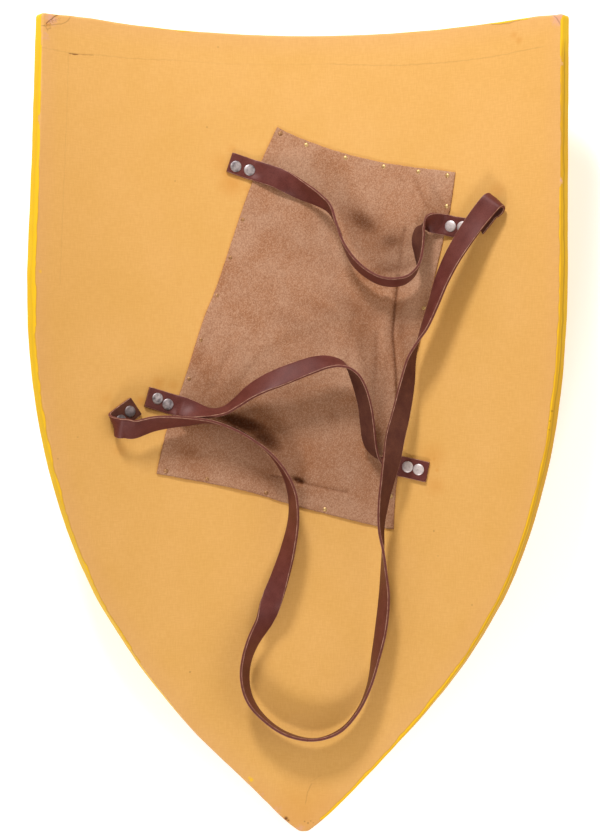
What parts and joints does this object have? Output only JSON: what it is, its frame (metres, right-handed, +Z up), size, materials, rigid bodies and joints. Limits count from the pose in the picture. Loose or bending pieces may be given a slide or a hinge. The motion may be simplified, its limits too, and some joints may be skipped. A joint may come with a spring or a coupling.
{
  "type": "heater shield",
  "caption": "Curved wooden heater shield covered in yellow painted canvas, lying front down, with a suede forearm pad, leather grip and forearm straps and a long neck strap.",
  "frame": {"origin": "centre of the bounding box's footprint, on the ground under the board's middle line", "axes": "+Y along the board to its straight top edge, +X to the right as seen from the strapped back, +Z up away from the painted front that it lies on"},
  "size_m": [0.4986, 0.778, 0.104],
  "materials": {
    "painted_canvas": "plywood covered in painted canvas: matte ochre back, glossy yellow front and rim",
    "suede": "napped tan suede, matte",
    "strap_leather": "dyed red-brown strap leather, waxed grain side and matte flesh side",
    "nickel": "nickel plated, lightly brushed by wear",
    "brass": "small dulled brass tack heads"
  },
  "bodies": {
    "root": {"board": "painted_canvas", "forearm_pad": "suede", "grip_strap": "strap_leather", "forearm_strap": "strap_leather", "guige_strap": "strap_leather", "grip_rivet_1": "nickel", "grip_rivet_2": "nickel", "grip_rivet_3": "nickel", "grip_rivet_4": "nickel", "forearm_rivet_1": "nickel", "forearm_rivet_2": "nickel", "forearm_rivet_3": "nickel", "forearm_rivet_4": "nickel", "guige_rivet_1": "nickel", "guige_rivet_2": "nickel", "guige_rivet_3": "nickel", "guige_rivet_4": "nickel", "pad_tack_01": "brass", "pad_tack_02": "brass", "pad_tack_03": "brass", "pad_tack_04": "brass", "pad_tack_05": "brass", "pad_tack_06": "brass", "pad_tack_07": "brass", "pad_tack_08": "brass", "pad_tack_09": "brass", "pad_tack_10": "brass", "pad_tack_11": "brass", "pad_tack_12": "brass", "pad_tack_13": "brass", "pad_tack_14": "brass", "pad_tack_15": "brass", "pad_tack_16": "brass", "pad_tack_17": "brass", "pad_tack_18": "brass", "pad_tack_19": "brass", "pad_tack_20": "brass"}
  },
  "joints": []
}
